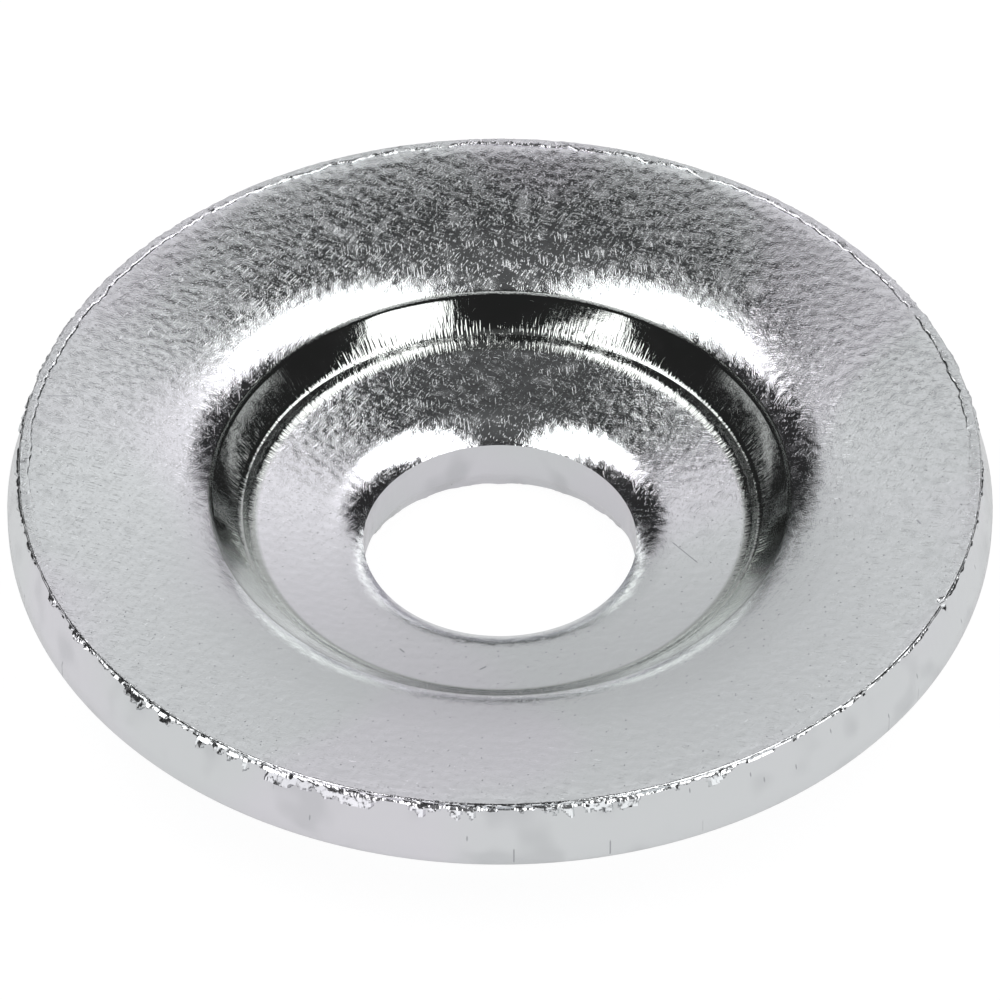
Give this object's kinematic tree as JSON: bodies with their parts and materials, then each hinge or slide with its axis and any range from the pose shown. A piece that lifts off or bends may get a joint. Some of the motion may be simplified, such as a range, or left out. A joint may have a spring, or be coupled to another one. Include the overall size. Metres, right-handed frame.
{
  "type": "curved washer",
  "caption": "Round dished washer pressed from thick steel sheet, zinc plated, with a plain bore; its hollow takes a bolt's head and its rim spreads the load.",
  "frame": {"origin": "on the bore's axis, in the plane of the flat land around the bore's lower mouth, which the washer rests on", "axes": "+Z along the bore's axis, out of the hollow side; X and Y across the washer, which is round"},
  "size_m": [0.038, 0.038, 0.0068],
  "materials": {
    "zinc_plated_steel": "bright zinc plating over pressed and tumbled steel sheet, with fine scratches and torn edges"
  },
  "bodies": {
    "root": {"washer": "zinc_plated_steel"}
  },
  "joints": []
}
